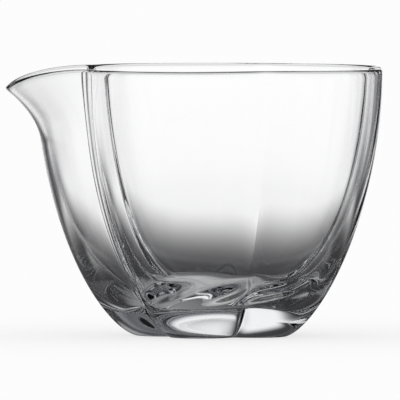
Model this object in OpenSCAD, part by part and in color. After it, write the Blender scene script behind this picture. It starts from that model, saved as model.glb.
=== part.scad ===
// Tea fairness pitcher: a handleless pouring bowl of thick clear glass, pinched into petals,
// with one petal drawn out into a spout.

/* [Bowl] */
// Height of the rim at the creases between petals
height = 77; // [66:0.1:88]
// How far a petal reaches from the axis at the rim
rim_reach = 51.7; // [46:0.1:58]
// How far a petal reaches from the axis at the foot
foot_reach = 22.3; // [19:0.1:28]
// Belly of the outer wall, where a smaller power is fuller
belly_power = 0.64; // [0.55:0.01:0.9]
// Turn of the outer wall, where a larger power is upright sooner
belly_turn_power = 1.92; // [1.6:0.02:2.6]

/* [Petals] */
// Number of petals, one of which carries the spout
petals = 5; // [4:1:7]
// Depth of the outer crease between two petals at the rim
crease_at_rim = 6.3; // [3:0.1:9]
// Depth of the outer crease between two petals at the foot
crease_at_foot = 9.5; // [3:0.1:10]
// Roundness of the creases, as a share, where 0 is a sharp fold
crease_softness_share = 0.007; // [0.002:0.001:0.08]
// Roundness of the second pair of creases from the spout, as a share
side_softness_share = 0.065; // [0.002:0.001:0.15]

/* [Well] */
// Thickness of the wall at the rim
rim_wall = 1.8; // [1.6:0.1:4]
// Thickness of the solid glass under the middle of the well
floor_wall = 10.6; // [8:0.2:20]
// Squareness of the well, where a smaller power is squarer
well_power = 0.305; // [0.24:0.005:0.6]
// Turn of the well's wall, where a larger power is upright sooner
well_turn_power = 1.7; // [1.4:0.05:2.6]
// Depth of the inner ribs at the rim, as a share of the well's reach
rib_share_at_rim = 0.15; // [0.02:0.005:0.2]
// Depth of the inner ribs at the floor, as a share of the well's reach
rib_share_at_floor = 0.56; // [0.02:0.01:0.6]
// Fade of the ribs' extra depth above the floor, where a larger power fades sooner
rib_fade_power = 2; // [1:0.1:3]
// Roundness of the ribs, as a share, where 0 is a sharp edge
rib_softness_share = 0.05; // [0.005:0.005:0.2]
// Roundness of the second pair of ribs from the spout, as a share
side_rib_softness_share = 0.2; // [0.005:0.005:0.3]
// Turn of the ribs round the axis at the floor, in degrees
rib_twist_angle = -10; // [-20:1:20]

/* [Spout] */
// How far the spout's tip reaches out past the petal
spout_reach = 9.4; // [4:0.2:16]
// How far the spout's lip dips below the rim
spout_dip = 5.7; // [0:0.1:9]
// Distance below the lip where the spout starts to leave the petal
spout_length = 15.8; // [8:0.2:24]
// Flare of the spout, where a larger power turns out later and more sharply
spout_flare_power = 2.1; // [1.2:0.1:3]
// Narrowness of the spout, where a larger power gathers it towards its middle
spout_narrow_power = 1.4; // [1:0.1:3]
// How far the other petals dip between their creases along the rim
rim_dip = 0.1; // [0:0.1:2]

/* [Fineness] */
// Steps round half a petal
half_petal_steps = 9; // [4:1:10]
// Rings up the outer wall
outer_rings = 24; // [12:1:26]
// Rings down the well
inner_rings = 23; // [12:1:26]
// Steps round the lip
lip_steps = 4; // [2:1:6]

/* [Hidden] */
full_turn = 360;
half_turn = 180;
spout_angle = 180;
half_petal = half_turn / petals;
steps = 2 * petals * half_petal_steps;
lip = rim_wall / 2;
tip_height = height - spout_dip;
outer_bunching = 1.4; // above 1 brings the outer rings closer together at the foot
inner_bunching = 2.2; // above 1 brings the inner rings closer together at the floor
crease_bunching = 0.3; // above 0 brings the steps round a petal closer together at its creases
twist_fade = 3; // how fast the ribs straighten on their way up
crease_fade = 3; // how fast the creases lose their extra depth on their way up

function clamp(x, low, high) = min(max(x, low), high);
function mix(a, b, share) = a + (b - a) * share;

// Angle of a step round the axis from the middle of the spout
function step_angle(i) =
    let (even = i * full_turn / steps)
    even + crease_bunching * sin(petals * even) / petals * half_turn / PI;

// Angle between a direction and the middle of the spout, whichever way round is shorter
function off_spout(angle) = angle > half_turn ? full_turn - angle : angle;

// Roundness of the nearest fold, which differs at the second pair from the spout
function softness(angle, share, side_share) =
    let (side = clamp(1 - abs(off_spout(angle) - 3 * half_petal) / half_petal, 0, 1))
    mix(share, side_share, side);

// Radius of a ring of equal arcs that reach out to reach and meet at creases of radius crease
function petal_radius(angle, reach, crease, soft) =
    let (centre = (reach * reach - crease * crease) / (2 * (reach - crease * cos(half_petal))),
         arc = reach - centre,
         folded = acos((1 - soft) * cos(petals * angle)) / petals)
    centre * cos(folded) + sqrt(arc * arc - pow(centre * sin(folded), 2));

// 1 at the middle of the spout's petal, falling to 0 at its two creases
function spout_share(angle) =
    let (off = off_spout(angle))
    off < half_petal ? cos(off / half_petal * half_turn / 2) : 0;

// Height of the rim, which dips in the middle of each petal and most at the spout
function rim_height(angle) =
    let (spout = spout_share(angle))
    height - (spout > 0 ? spout_dip * spout * spout : rim_dip * pow(cos(petals * angle / 2), 2));

// How far the wall is pushed out at a height to form the spout
function spout_push(angle, z) =
    let (rise = max(0, 1 - (tip_height - z) / spout_length))
    spout_reach * pow(rise, spout_flare_power) * pow(spout_share(angle), spout_narrow_power);

// Lean of the wall at the lip, in degrees from upright
function lip_lean(angle) =
    atan(spout_reach * spout_flare_power / spout_length * pow(spout_share(angle), spout_narrow_power));

// Quarter of a superellipse, from 0 at share 0 to 1 at share 1
function swell(share, power, turn_power) = pow(1 - pow(1 - clamp(share, 0, 1), turn_power), power);

function outer_radius(angle, z) =
    let (reach = mix(foot_reach, rim_reach, swell(z / height, belly_power, belly_turn_power)),
         crease = mix(crease_at_rim, crease_at_foot, pow(1 - clamp(z / height, 0, 1), crease_fade)),
         soft = softness(angle, crease_softness_share, side_softness_share))
    petal_radius(angle, reach, reach - crease, soft) + spout_push(angle, z);

function inner_radius(angle, z) =
    let (up = clamp((z - floor_wall) / (height - floor_wall), 0, 1),
         reach = (rim_reach - rim_wall) * swell(up, well_power, well_turn_power),
         rib = mix(rib_share_at_rim, rib_share_at_floor, pow(1 - sqrt(up), rib_fade_power)),
         turned = angle + rib_twist_angle * pow(1 - up, twist_fade),
         soft = softness(angle, rib_softness_share, side_rib_softness_share))
    petal_radius(turned, reach, reach * (1 - rib), soft) + spout_push(angle, z);

// The wall's outer top edge and inner top edge, each as [radius, height], square to the leaning wall
function outer_edge(angle) =
    let (z = rim_height(angle) - lip)
    [outer_radius(angle, z), z];
function inner_edge(angle) =
    let (lean = lip_lean(angle), z = rim_height(angle) - lip + rim_wall * sin(lean) * cos(lean))
    [inner_radius(angle, z), z];

// A point of the section at an angle, as [radius, height]: up the outer wall, over the lip, down the well
function outer_point(angle, share) =
    let (z = pow(share, outer_bunching) * outer_edge(angle)[1])
    [outer_radius(angle, z), z];
function lip_point(angle, share) =
    let (out = outer_edge(angle), in = inner_edge(angle), lean = lip_lean(angle), turn = half_turn * share)
    mix(out, in, (1 - cos(turn)) / 2) + lip * sin(turn) * [sin(lean), cos(lean)];
function inner_point(angle, share) =
    let (z = mix(floor_wall, inner_edge(angle)[1], pow(1 - share, inner_bunching)))
    [inner_radius(angle, z), z];

function section(angle) = concat(
    [for (i = [0 : outer_rings - 1]) outer_point(angle, i / (outer_rings - 1))],
    [for (i = [1 : lip_steps - 1]) lip_point(angle, i / lip_steps)],
    [for (i = [0 : inner_rings - 2]) inner_point(angle, i / (inner_rings - 1))]);

function section_points(angle) =
    let (a = spout_angle + angle)
    [for (p = section(angle)) [p[0] * cos(a), p[0] * sin(a), p[1]]];

// Sections stand round the axis; the foot and the floor of the well each close on a middle point
module pitcher() {
    rings = outer_rings + lip_steps - 1 + inner_rings - 1;
    points = [for (i = [0 : steps - 1]) each section_points(step_angle(i))];
    foot_middle = len(points);
    floor_middle = foot_middle + 1;
    walls = [for (i = [0 : steps - 1], j = [0 : rings - 2])
        let (a = i * rings + j, b = (i + 1) % steps * rings + j)
        each [[a, a + 1, b], [b, a + 1, b + 1]]];
    foot = [for (i = [0 : steps - 1]) [i * rings, (i + 1) % steps * rings, foot_middle]];
    floor = [for (i = [0 : steps - 1])
        [(i + 1) % steps * rings + rings - 1, i * rings + rings - 1, floor_middle]];
    color("gainsboro", 0.4)
        polyhedron(
            points = concat(points, [[0, 0, 0], [0, 0, floor_wall]]),
            faces = concat(walls, foot, floor),
            convexity = 6);
}

pitcher();
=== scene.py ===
"""Looks of a tea fairness pitcher: thick clear glass, lit from behind as glass is photographed."""

import math

import bpy
import numpy as np
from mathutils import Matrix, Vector


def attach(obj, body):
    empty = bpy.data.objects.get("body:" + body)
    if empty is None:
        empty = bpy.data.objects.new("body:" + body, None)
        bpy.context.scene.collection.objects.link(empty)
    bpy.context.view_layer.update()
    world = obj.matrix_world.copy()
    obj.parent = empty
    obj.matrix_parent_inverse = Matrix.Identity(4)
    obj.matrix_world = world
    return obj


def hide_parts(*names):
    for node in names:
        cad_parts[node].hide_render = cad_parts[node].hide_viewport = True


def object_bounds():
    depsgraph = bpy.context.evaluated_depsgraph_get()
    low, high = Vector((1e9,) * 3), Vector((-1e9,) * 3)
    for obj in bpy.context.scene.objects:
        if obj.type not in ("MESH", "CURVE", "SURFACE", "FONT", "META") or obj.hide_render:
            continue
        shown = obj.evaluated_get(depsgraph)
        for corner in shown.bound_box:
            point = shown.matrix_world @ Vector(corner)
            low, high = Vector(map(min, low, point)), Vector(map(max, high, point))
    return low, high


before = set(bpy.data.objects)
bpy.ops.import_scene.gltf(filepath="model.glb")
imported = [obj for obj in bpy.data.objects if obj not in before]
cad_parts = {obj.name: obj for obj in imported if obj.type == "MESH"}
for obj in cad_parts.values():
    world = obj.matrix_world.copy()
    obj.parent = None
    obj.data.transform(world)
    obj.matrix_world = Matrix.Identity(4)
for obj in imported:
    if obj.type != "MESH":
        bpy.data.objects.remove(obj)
cad_low, cad_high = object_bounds()

MM = 0.001

# Camera: the photograph's frame in pixels, where the glass stands in it, and the size of a pixel
IMAGE_SIZE = 400
AXIS_PIXEL = 215.5
TABLE_PIXEL = 335.5
PIXEL = 0.2868 * MM
CAMERA_DISTANCE = 4.5
CAMERA_ELEVATION = math.radians(2.0)
SENSOR_WIDTH = 36
VIEW_END = 100

# Bounces of light, enough to pass through thick glass
BOUNCES = 24
GLOSSY_BOUNCES = 12

# Outer wall, the same as the CAD's, with the overall height taken from the frame
HEIGHT = cad_high.z
RIM_REACH = 51.7 * MM
FOOT_REACH = 22.3 * MM
BELLY_POWER = 0.64
BELLY_TURN_POWER = 1.92

# Petals and the creases between them, the same as the CAD's
PETALS = 5
HALF_PETAL = math.pi / PETALS
SIDE_FOLD = 3 * HALF_PETAL
CREASE_AT_RIM = 6.3 * MM
CREASE_AT_FOOT = 9.5 * MM
CREASE_FADE = 3
CREASE_SOFTNESS = 0.007
SIDE_SOFTNESS = 0.065

# Spout and lip, the same as the CAD's
SPOUT_REACH = 9.4 * MM
SPOUT_DIP = 5.7 * MM
SPOUT_LENGTH = 15.8 * MM
SPOUT_FLARE_POWER = 2.1
SPOUT_NARROW_POWER = 1.4
RIM_DIP = 0.1 * MM
WALL_AT_RIM = 1.8 * MM

# Well, whose bottom and ribs are set by how they bend the light
BOWL_BOTTOM = 7 * MM
FLOOR_HEIGHT = 10.4 * MM
FLOOR_BLEND = 0.558 * MM
FLOOR_REGION = 12 * MM
FLOOR_FADE_POWER = 4
WELL_POWER = 0.3
WELL_TURN_POWER = 1.7
RIB_SHARE_AT_RIM = 0.146
RIB_SHARE_AT_FLOOR = 0.45
RIB_FADE_POWER = 2
RIB_SOFTNESS = 0.042
SIDE_RIB_SOFTNESS = 0.36
RIB_TWIST = math.radians(1.665)
TWIST_FADE = 3

# Unevenness low in the well: its depth, where it is, and two waves. A wave's phase, in radians,
# begins at its start and grows by its turn with the angle and by its lean with the height
UNEVENNESS = 0.8 * MM
UNEVEN_HEIGHT = 13.292 * MM
UNEVEN_SPREAD = 3.071 * MM
UNEVEN_REACH = 12 * MM
UNEVEN_FRONT_START = 0.209
UNEVEN_FRONT_SLOPE = 2
LARGE_TURN, LARGE_START, LARGE_LEAN = 0.0322, 0.549, 258
SMALL_TURN, SMALL_START, SMALL_LEAN = 11, 0.255, 932
SMALL_SHARE = 0.6

# Fineness of the surface, and how much its rows and columns crowd at foot, floor and creases
COLUMNS = 400
OUTER_ROWS = 105
LIP_ROWS = 12
WELL_ROWS = 130
OUTER_BUNCHING = 1.5
WELL_BUNCHING = 2.2
CREASE_BUNCHING = 0.55

# Glass: ripples of the hand work, smears left by wiping, and a faint cool tint through its depth
GLASS_IOR = 1.5
RIPPLE_SCALE, RIPPLE_DETAIL, RIPPLE_ROUGHNESS = 90.0, 1.0, 0.4
RIPPLE_STRENGTH, RIPPLE_HEIGHT = 0.02, 0.3 * MM
SMEAR_SCALE, SMEAR_DETAIL = 35.0, 3.0
SMEAR_START, SMEAR_FULL = 0.45, 0.8
SMEAR_ROUGHNESS = 0.02
TINT = (0.80, 0.83, 0.86, 1)
TINT_DENSITY = 6.0

# From here on, a name with two values holds the start and the end of a smooth step.

# Floor as the camera sees it: nearly white by its own light, with the glass's shadow
FLOOR_HALF = 30.0
FLOOR_GAP = 0.05 * MM
FLOOR_COLOUR = (0.92, 0.92, 0.92, 1)
FLOOR_OWN_LIGHT = 0.72
WHITE = (1, 1, 1, 1)

# Floor as the glass sees it, with a painted shadow and a painted patch of focused light round the
# foot, by the distance from the axis and the place in metres, and by the angle, which is 0 straight
# down and 1 along the floor
# Painted shadow: the dark emission round the foot, its edges, its level and its colour
PAINTED_SHADOW_EDGE = 30 * MM, 420 * MM
PAINTED_SHADOW_LIGHT = 0.04
PAINTED_SHADOW_COLOUR = (1, 1, 1.05, 1)
# Painted light: a brighter patch of the floor's emission beside the foot on the left, standing in
# for light focused by the glass
PAINTED_GLOW_EDGE = 25.5 * MM, 32.2 * MM
PAINTED_GLOW_SIDE = -20 * MM, 20 * MM
PAINTED_GLOW_LIGHT = 0.22
EVEN_BLEND = 0.5
GLANCING = 0.85, 0.973
STEEP = 0.66, 0.76
STEEPER = 0.4, 0.5
FAR_PALE = 70 * MM, 160 * MM
NEAR_PALE = 40 * MM, 85 * MM
FRONT_PALE = -50 * MM, 0
PALE_LIGHT = 0.85

# Studio as the glass sees it, by direction: ROUND is the angle round the axis from straight
# behind, in radians, and BACK and UP are the parts of the unit direction towards the back and up
WINDOW_ROUND = 0.147, 0.35
NARROW_WINDOWS = 8
NARROW_ROUND = 0.1, 0.25
FRONT_ROUND = 1.483, 1.911
CARD_UP = -0.458, -0.33
CARD_DARK = 0.935
UPPER_UP = -0.037, 0.06
UPPER_BACK = -0.3, 0.3
UPPER_ROUND = 0.1, 0.27
UPPER_DARK = 0.587
CEILING_UP = 0.103, 0.684
CEILING_DARK = 0.75
GROUND_UP = -0.32, -0.02
GROUND_BACK = 0.258, 0.501
GROUND_DARK = 0.337
STUDIO_LIGHT, STUDIO_DARKEST = 1.005, 0.005
COOL_POWER = 0.965


def mix(a, b, share):
    """From a to b, by share."""
    return a + (b - a) * share


def smooth_step(share):
    """Three times the square less twice the cube of the share, which is kept from 0 to 1."""
    kept = np.clip(share, 0, 1)
    return kept ** 2 * (3 - 2 * kept)


def swell(share, power, turn_power):
    """Quarter of a superellipse: 1 less the turn_power of what the share lacks to 1, all raised to
    power."""
    return (1 - (1 - np.clip(share, 0, 1)) ** turn_power) ** power


def off_spout(angle):
    """Angle from the middle of the spout, whichever way round is shorter."""
    return np.abs((angle + math.pi) % (2 * math.pi) - math.pi)


def softness(angle, share, side_share):
    """Softness of the nearest fold: from share to side_share by a tent that stands on the second
    pair of folds from the spout."""
    side = np.clip(1 - np.abs(off_spout(angle) - SIDE_FOLD) / HALF_PETAL, 0, 1)
    return mix(share, side_share, side)


def petal_radius(angle, reach, crease, soft):
    """Ring of equal arcs: the far side of a circle whose centre lies out along the petal's middle,
    seen from the axis. The circle passes through the petal's tip and through the crease. The angle
    from the petal's middle is folded by an arc cosine, which rounds the fold by soft."""
    centre = (reach ** 2 - crease ** 2) / (2 * (reach - crease * math.cos(HALF_PETAL)))
    arc = reach - centre
    folded = np.arccos((1 - soft) * np.cos(PETALS * angle)) / PETALS
    return centre * np.cos(folded) + np.sqrt(arc ** 2 - (centre * np.sin(folded)) ** 2)


def spout_share(angle):
    """Cosine from 1 in the middle of the spout's petal, at angle 0, to 0 at its two creases."""
    off = off_spout(angle)
    return np.where(off < HALF_PETAL, np.cos(np.minimum(off / HALF_PETAL, 1) * math.pi / 2), 0.0)


def rim_height(angle):
    """Height less a squared cosine: a deep dip in the spout's petal, a faint one in the others."""
    share = spout_share(angle)
    faint = RIM_DIP * np.cos(PETALS / 2 * angle) ** 2
    return HEIGHT - np.where(share > 0, SPOUT_DIP * share ** 2, faint)


def spout_push(angle, height):
    """Reach of the spout times a power of the rise to its tip times a power of the share in its
    petal."""
    rise = np.maximum(0, 1 - (HEIGHT - SPOUT_DIP - height) / SPOUT_LENGTH)
    return SPOUT_REACH * rise ** SPOUT_FLARE_POWER * spout_share(angle) ** SPOUT_NARROW_POWER


def lip_lean(angle):
    """Angle of the wall from upright at the lip: the arc tangent of the spout's slope there."""
    slope = SPOUT_REACH * SPOUT_FLARE_POWER / SPOUT_LENGTH
    return np.arctan(slope * spout_share(angle) ** SPOUT_NARROW_POWER)


def outer_radius(angle, height):
    """Petal ring whose reach swells from foot to rim and whose creases deepen by a power towards
    the foot, plus the spout."""
    up = np.clip(height / HEIGHT, 0, 1)
    reach = mix(FOOT_REACH, RIM_REACH, swell(up, BELLY_POWER, BELLY_TURN_POWER))
    crease = reach - mix(CREASE_AT_RIM, CREASE_AT_FOOT, (1 - up) ** CREASE_FADE)
    soft = softness(angle, CREASE_SOFTNESS, SIDE_SOFTNESS)
    return petal_radius(angle, reach, crease, soft) + spout_push(angle, height)


def well_radius(angle, height):
    """Petal ring whose reach swells from nothing at the bowl's bottom, with ribs that stand in by a
    share of it and turn round the axis by a power towards the bottom, plus the spout."""
    up = np.clip((height - BOWL_BOTTOM) / (HEIGHT - BOWL_BOTTOM), 0, 1)
    reach = (RIM_REACH - WALL_AT_RIM) * swell(up, WELL_POWER, WELL_TURN_POWER)
    rib = mix(RIB_SHARE_AT_RIM, RIB_SHARE_AT_FLOOR, (1 - np.sqrt(up)) ** RIB_FADE_POWER)
    turned = angle + RIB_TWIST * (1 - up) ** TWIST_FADE
    soft = softness(angle, RIB_SOFTNESS, SIDE_RIB_SOFTNESS)
    return petal_radius(turned, reach, reach * (1 - rib), soft) + spout_push(angle, height)


def unevenness(angle, height, radius):
    """Unevenness of the hand-worked glass where the well's floor turns up into its wall: a sum of
    two sine waves. It fades away from one height by a bell curve, towards the back by a smooth step
    of the sine of the angle, and evenly towards the axis."""
    near = np.exp(-((height - UNEVEN_HEIGHT) / UNEVEN_SPREAD) ** 2)
    front = smooth_step(UNEVEN_FRONT_SLOPE * (np.sin(angle) - UNEVEN_FRONT_START))
    large = np.sin(LARGE_TURN * angle + LARGE_LEAN * height + LARGE_START)
    small = SMALL_SHARE * np.sin(SMALL_TURN * angle - SMALL_LEAN * height + SMALL_START)
    outwards = np.clip(radius / UNEVEN_REACH, 0, 1)
    return UNEVENNESS * near * front * (large + small) * outwards


def well_height(height):
    """Height of the well's surface: the bowl's own, or the flat floor's where that is higher, as a
    smooth maximum by a square root, which fades out above the floor by a flat-topped bell curve."""
    over = height - FLOOR_HEIGHT
    raised = FLOOR_HEIGHT + (over + np.sqrt(over ** 2 + FLOOR_BLEND ** 2)) / 2
    near = np.exp(-((height - BOWL_BOTTOM) / FLOOR_REGION) ** FLOOR_FADE_POWER)
    return mix(height, raised, near)


def glass_surface():
    """Points of the glass as an array of rows by columns by 3, from the foot up the outer wall,
    over the lip as a half ellipse square to the leaning wall, and down the well. Columns crowd at
    the creases, because the angle is the even one plus a sine. Rows crowd at the foot and at the
    floor by a power."""
    even = np.linspace(0, 2 * math.pi, COLUMNS, endpoint=False)
    angle = (even + CREASE_BUNCHING * np.sin(PETALS * even) / PETALS)[None, :]
    lip = WALL_AT_RIM / 2
    lean = lip_lean(angle)
    outer_top = rim_height(angle) - lip
    well_top = outer_top + WALL_AT_RIM * np.sin(lean) * np.cos(lean)

    share = np.linspace(0, 1, OUTER_ROWS)[:, None] ** OUTER_BUNCHING
    outer_z = share * outer_top
    outer_r = outer_radius(angle, outer_z)

    turn = np.linspace(0, math.pi, LIP_ROWS + 1)[1:-1, None]
    across = (1 - np.cos(turn)) / 2
    bulge = lip * np.sin(turn)
    lip_z = mix(outer_top, well_top, across) + bulge * np.cos(lean)
    lip_r = mix(outer_radius(angle, outer_top), well_radius(angle, well_top), across)
    lip_r = lip_r + bulge * np.sin(lean)

    share = (1 - np.linspace(0, 1, WELL_ROWS)[:-1, None]) ** WELL_BUNCHING
    bowl_z = mix(BOWL_BOTTOM, well_top, share)
    well_r = well_radius(angle, bowl_z)
    well_r = well_r + unevenness(angle, bowl_z, well_r)
    well_z = well_height(bowl_z)

    radius = np.vstack([outer_r, lip_r, well_r])
    height = np.vstack([outer_z, lip_z, well_z])
    return np.stack([-radius * np.cos(angle), -radius * np.sin(angle), height], axis=2)


def closed_shell(name, points):
    """Mesh of a grid whose columns wrap round, closed by a fan of triangles at the foot and one at
    the well's floor."""
    rows, columns, _ = points.shape
    column = np.arange(columns)
    following = (column + 1) % columns
    start = np.arange(rows - 1)[:, None] * columns
    quads = np.stack([start + column, start + following, start + columns + following,
                      start + columns + column], axis=2).reshape(-1, 4)
    last = (rows - 1) * columns
    foot_middle = rows * columns
    floor_middle = foot_middle + 1
    foot = np.stack([following, column, np.full(columns, foot_middle)], axis=1)
    floor = np.stack([last + column, last + following, np.full(columns, floor_middle)], axis=1)
    middles = [[0, 0, 0], [0, 0, points[-1, :, 2].mean()]]
    mesh = bpy.data.meshes.new(name)
    mesh.from_pydata(np.vstack([points.reshape(-1, 3), middles]).tolist(), [],
                     quads.tolist() + foot.tolist() + floor.tolist())
    mesh.shade_smooth()
    mesh.validate()
    return mesh


def add_object(name, data):
    """Object of a mesh or a camera in the scene, at the origin and unturned."""
    made = bpy.data.objects.new(name, data)
    bpy.context.scene.collection.objects.link(made)
    return made


def add_node(tree, kind, **values):
    """Shader node of a kind, with values set on its inputs by name."""
    made = tree.nodes.new(kind)
    for name, value in values.items():
        made.inputs[name.replace("_", " ")].default_value = value
    return made


def feed(tree, slot, value):
    """Give an input its value: a link from a socket, or a plain number."""
    if isinstance(value, (int, float)):
        slot.default_value = value
    else:
        tree.links.new(value, slot)


def combine(tree, operation, *values):
    """Math node of the values, each a socket or a number."""
    made = tree.nodes.new("ShaderNodeMath")
    made.operation = operation
    for slot, value in zip(made.inputs, values):
        feed(tree, slot, value)
    return made.outputs[0]


def flipped(tree, value):
    """1 less the value."""
    return combine(tree, "SUBTRACT", 1.0, value)


def product(tree, first, *others):
    """Product of the values, each a socket or a number."""
    for other in others:
        first = combine(tree, "MULTIPLY", first, other)
    return first


def greatest(tree, first, *others):
    """Greatest of the values, each a socket or a number."""
    for other in others:
        first = combine(tree, "MAXIMUM", first, other)
    return first


def ramp(tree, value, edges):
    """Smooth step of a value from 0 at the first edge to 1 at the second."""
    step = add_node(tree, "ShaderNodeMapRange", From_Min=edges[0], From_Max=edges[1])
    step.interpolation_type = "SMOOTHSTEP"
    feed(tree, step.inputs["Value"], value)
    return step.outputs["Result"]


def fade(tree, value, edges):
    """Smooth step of a value from 1 at the first edge to 0 at the second."""
    return flipped(tree, ramp(tree, value, edges))


def mixed(tree, share, first, second):
    """Mix of two shaders by share, a socket or a number."""
    made = tree.nodes.new("ShaderNodeMixShader")
    feed(tree, made.inputs["Fac"], share)
    feed(tree, made.inputs[1], first)
    feed(tree, made.inputs[2], second)
    return made.outputs[0]


def seen_through_glass(tree):
    """1 for what the glass mirrors or shows through itself, 0 for what the camera sees directly
    and for light on the floor."""
    path = tree.nodes.new("ShaderNodeLightPath")
    return greatest(tree, path.outputs["Is Glossy Ray"], path.outputs["Is Transmission Ray"])


def clear_glass():
    """Clear fire-polished glass: a soft noise ripples the surface, a broader one leaves it a little
    less polished where it was wiped, and its depth takes up light, red the most."""
    material = bpy.data.materials.new("clear_glass")
    material.use_nodes = True
    tree = material.node_tree
    shader = tree.nodes["Principled BSDF"]
    shader.inputs["Base Color"].default_value = WHITE
    shader.inputs["Transmission Weight"].default_value = 1
    shader.inputs["IOR"].default_value = GLASS_IOR

    place = tree.nodes.new("ShaderNodeTexCoord")
    ripple = add_node(tree, "ShaderNodeTexNoise", Scale=RIPPLE_SCALE, Detail=RIPPLE_DETAIL,
                      Roughness=RIPPLE_ROUGHNESS)
    bump = add_node(tree, "ShaderNodeBump", Strength=RIPPLE_STRENGTH, Distance=RIPPLE_HEIGHT)
    feed(tree, ripple.inputs["Vector"], place.outputs["Object"])
    feed(tree, bump.inputs["Height"], ripple.outputs["Fac"])
    feed(tree, shader.inputs["Normal"], bump.outputs["Normal"])

    smear = add_node(tree, "ShaderNodeTexNoise", Scale=SMEAR_SCALE, Detail=SMEAR_DETAIL)
    polish = add_node(tree, "ShaderNodeMapRange", From_Min=SMEAR_START, From_Max=SMEAR_FULL,
                      To_Min=0.0, To_Max=SMEAR_ROUGHNESS)
    feed(tree, smear.inputs["Vector"], place.outputs["Object"])
    feed(tree, polish.inputs["Value"], smear.outputs["Fac"])
    feed(tree, shader.inputs["Roughness"], polish.outputs["Result"])

    depth = add_node(tree, "ShaderNodeVolumeAbsorption", Color=TINT, Density=TINT_DENSITY)
    feed(tree, tree.nodes["Material Output"].inputs["Volume"], depth.outputs["Volume"])
    return material


def add_pitcher():
    """The one piece of glass, which stands for the CAD node of the same form."""
    mesh = closed_shell("pitcher_glass", glass_surface())
    mesh.materials.append(clear_glass())
    piece = add_object("pitcher_glass", mesh)
    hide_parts("pitcher")
    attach(piece, "root")


def floor_for_camera(tree):
    """Nearly white floor: a matt pale one, which takes the glass's shadow, mixed with white light
    of its own."""
    matt = add_node(tree, "ShaderNodeBsdfDiffuse", Color=FLOOR_COLOUR)
    white = add_node(tree, "ShaderNodeEmission", Color=WHITE, Strength=1.0)
    return mixed(tree, FLOOR_OWN_LIGHT, matt.outputs[0], white.outputs[0])


def floor_for_glass(tree):
    """Floor that the glass mirrors and shows, by products and greatest values of smooth steps.
    Round the foot it carries a painted shadow, a dark emission that stands in for the glass's shade
    there, and near the foot on the left a painted patch of focused light. The painted shadow thins
    outwards and at a glancing angle, so that the studio's ground shows through. Past it the floor
    is pale where it is seen steeply and in front of the glass, and pale nearer the foot where it is
    seen more steeply."""
    place = tree.nodes.new("ShaderNodeTexCoord")
    length = tree.nodes.new("ShaderNodeVectorMath")
    length.operation = "LENGTH"
    feed(tree, length.inputs[0], place.outputs["Object"])
    reach = length.outputs["Value"]
    split = tree.nodes.new("ShaderNodeSeparateXYZ")
    feed(tree, split.inputs[0], place.outputs["Object"])
    angle = add_node(tree, "ShaderNodeLayerWeight", Blend=EVEN_BLEND).outputs["Facing"]

    # Painted light: where the floor's emission is raised near the foot on the left, standing in for
    # light focused by the glass
    painted_glow_share = product(tree, fade(tree, reach, PAINTED_GLOW_EDGE), fade(tree, split.outputs["X"], PAINTED_GLOW_SIDE))
    # Painted shadow: a dark emission round the foot that stands in for the glass's shade, seen only
    # by rays through the glass
    painted_shadow_emission = add_node(tree, "ShaderNodeEmission", Color=PAINTED_SHADOW_COLOUR)
    painted_shadow_and_glow_level = combine(tree, "MULTIPLY_ADD", painted_glow_share, PAINTED_GLOW_LIGHT, PAINTED_SHADOW_LIGHT)
    feed(tree, painted_shadow_emission.inputs["Strength"], painted_shadow_and_glow_level)
    clear = tree.nodes.new("ShaderNodeBsdfTransparent")
    thin = greatest(tree, ramp(tree, reach, PAINTED_SHADOW_EDGE), ramp(tree, angle, GLANCING))
    thinned_painted_shadow = mixed(tree, thin, painted_shadow_emission.outputs[0], clear.outputs[0])

    steep = greatest(tree, fade(tree, angle, STEEP), fade(tree, split.outputs["Y"], FRONT_PALE))
    far_pale = product(tree, steep, ramp(tree, reach, FAR_PALE))
    near_pale = product(tree, fade(tree, angle, STEEPER), ramp(tree, reach, NEAR_PALE))
    bright = add_node(tree, "ShaderNodeEmission", Color=WHITE, Strength=PALE_LIGHT)
    return mixed(tree, greatest(tree, far_pale, near_pale), thinned_painted_shadow, bright.outputs[0])


def add_floor():
    """Plain pale floor: a flat square just under the foot, which looks otherwise to the camera than
    it does to the glass, to which it shows a painted shadow and a painted patch of light round the
    foot."""
    mesh = bpy.data.meshes.new("floor")
    square = np.array([[-1, -1, 0], [1, -1, 0], [1, 1, 0], [-1, 1, 0]])
    mesh.from_pydata((square * FLOOR_HALF - [0, 0, FLOOR_GAP]).tolist(), [], [(0, 1, 2, 3)])
    floor = add_object("floor", mesh)
    material = bpy.data.materials.new("pale_floor")
    material.use_nodes = True
    tree = material.node_tree
    tree.nodes.remove(tree.nodes["Principled BSDF"])
    whole = mixed(tree, seen_through_glass(tree), floor_for_camera(tree), floor_for_glass(tree))
    feed(tree, tree.nodes["Material Output"].inputs["Surface"], whole)
    mesh.materials.append(material)


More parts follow.
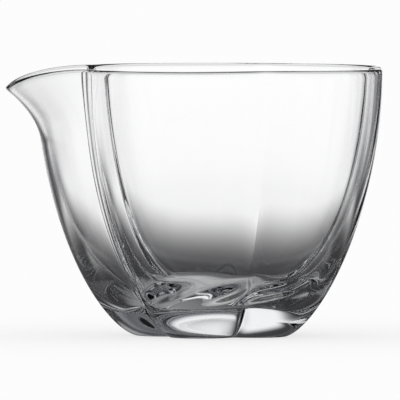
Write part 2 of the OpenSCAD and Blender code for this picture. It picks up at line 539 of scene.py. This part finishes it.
def studio_light(tree):
    """Light of the studio by direction: the product of what four dark things leave of it, each a
    product of smooth steps. Dark cards stand all round, but for a wide window behind the glass,
    narrow windows at even steps of the turn and an open front, so that the glass has dark edges
    from any side. The others are the upper half behind the glass at both sides of its middle, the
    ceiling, and the ground behind the glass."""
    place = tree.nodes.new("ShaderNodeTexCoord")
    split = tree.nodes.new("ShaderNodeSeparateXYZ")
    feed(tree, split.inputs[0], place.outputs["Generated"])
    side, back, up = split.outputs["X"], split.outputs["Y"], split.outputs["Z"]
    turn = combine(tree, "ARCTAN2", side, back)
    away = combine(tree, "ABSOLUTE", turn)

    off_narrow = combine(tree, "PINGPONG", turn, math.pi / NARROW_WINDOWS)
    window = greatest(tree, fade(tree, away, WINDOW_ROUND), fade(tree, off_narrow, NARROW_ROUND),
                      ramp(tree, away, FRONT_ROUND))
    card = product(tree, flipped(tree, window), ramp(tree, up, CARD_UP), CARD_DARK)
    upper = product(tree, ramp(tree, up, UPPER_UP), ramp(tree, back, UPPER_BACK),
                    ramp(tree, away, UPPER_ROUND), UPPER_DARK)
    ceiling = product(tree, ramp(tree, up, CEILING_UP), CEILING_DARK)
    ground = product(tree, fade(tree, up, GROUND_UP), ramp(tree, back, GROUND_BACK), GROUND_DARK)
    lit = product(tree, *[flipped(tree, dark) for dark in (card, upper, ceiling, ground)])
    return combine(tree, "MULTIPLY_ADD", lit, STUDIO_LIGHT, STUDIO_DARKEST)


def studio_world():
    """World that is plain white to the camera and to the floor, and the studio to the glass. Its
    greys are a little cool, because blue is the level raised to a power just under 1."""
    world = bpy.data.worlds.new("studio")
    bpy.context.scene.world = world
    world.use_nodes = True
    world.cycles.sampling_method = "NONE"
    tree = world.node_tree
    tree.nodes.clear()
    choose = tree.nodes.new("ShaderNodeMix")
    choose.data_type = "FLOAT"
    feed(tree, choose.inputs["Factor"], seen_through_glass(tree))
    feed(tree, choose.inputs["A"], 1.0)
    feed(tree, choose.inputs["B"], studio_light(tree))
    level = choose.outputs["Result"]
    cool = tree.nodes.new("ShaderNodeCombineColor")
    feed(tree, cool.inputs["Red"], level)
    feed(tree, cool.inputs["Green"], level)
    feed(tree, cool.inputs["Blue"], combine(tree, "POWER", level, COOL_POWER))
    light = tree.nodes.new("ShaderNodeBackground")
    feed(tree, light.inputs["Color"], cool.outputs["Color"])
    output = tree.nodes.new("ShaderNodeOutputWorld")
    feed(tree, output.inputs["Surface"], light.outputs[0])


def add_camera():
    """Camera of the photograph: far off, a little above the table, aimed at the middle of the
    frame, with a lens that makes the frame as wide there as its pixels say."""
    middle = IMAGE_SIZE / 2
    target = Vector(((middle - AXIS_PIXEL) * PIXEL, 0, (TABLE_PIXEL - middle) * PIXEL))
    backwards = Vector((0, -math.cos(CAMERA_ELEVATION), math.sin(CAMERA_ELEVATION)))
    data = bpy.data.cameras.new("camera")
    data.sensor_width = SENSOR_WIDTH
    data.lens = SENSOR_WIDTH / 2 * CAMERA_DISTANCE / (middle * PIXEL)
    data.clip_end = VIEW_END
    camera = add_object("camera", data)
    camera.location = target + backwards * CAMERA_DISTANCE
    camera.rotation_mode = "QUATERNION"
    camera.rotation_quaternion = (-backwards).to_track_quat("-Z", "Y")
    bpy.context.scene.camera = camera


def set_scene():
    """Plain view transform and the bounces of light."""
    scene = bpy.context.scene
    scene.view_settings.view_transform = "Standard"
    scene.cycles.max_bounces = BOUNCES
    scene.cycles.transmission_bounces = BOUNCES
    scene.cycles.glossy_bounces = GLOSSY_BOUNCES


add_camera()
set_scene()
studio_world()
add_floor()
add_pitcher()
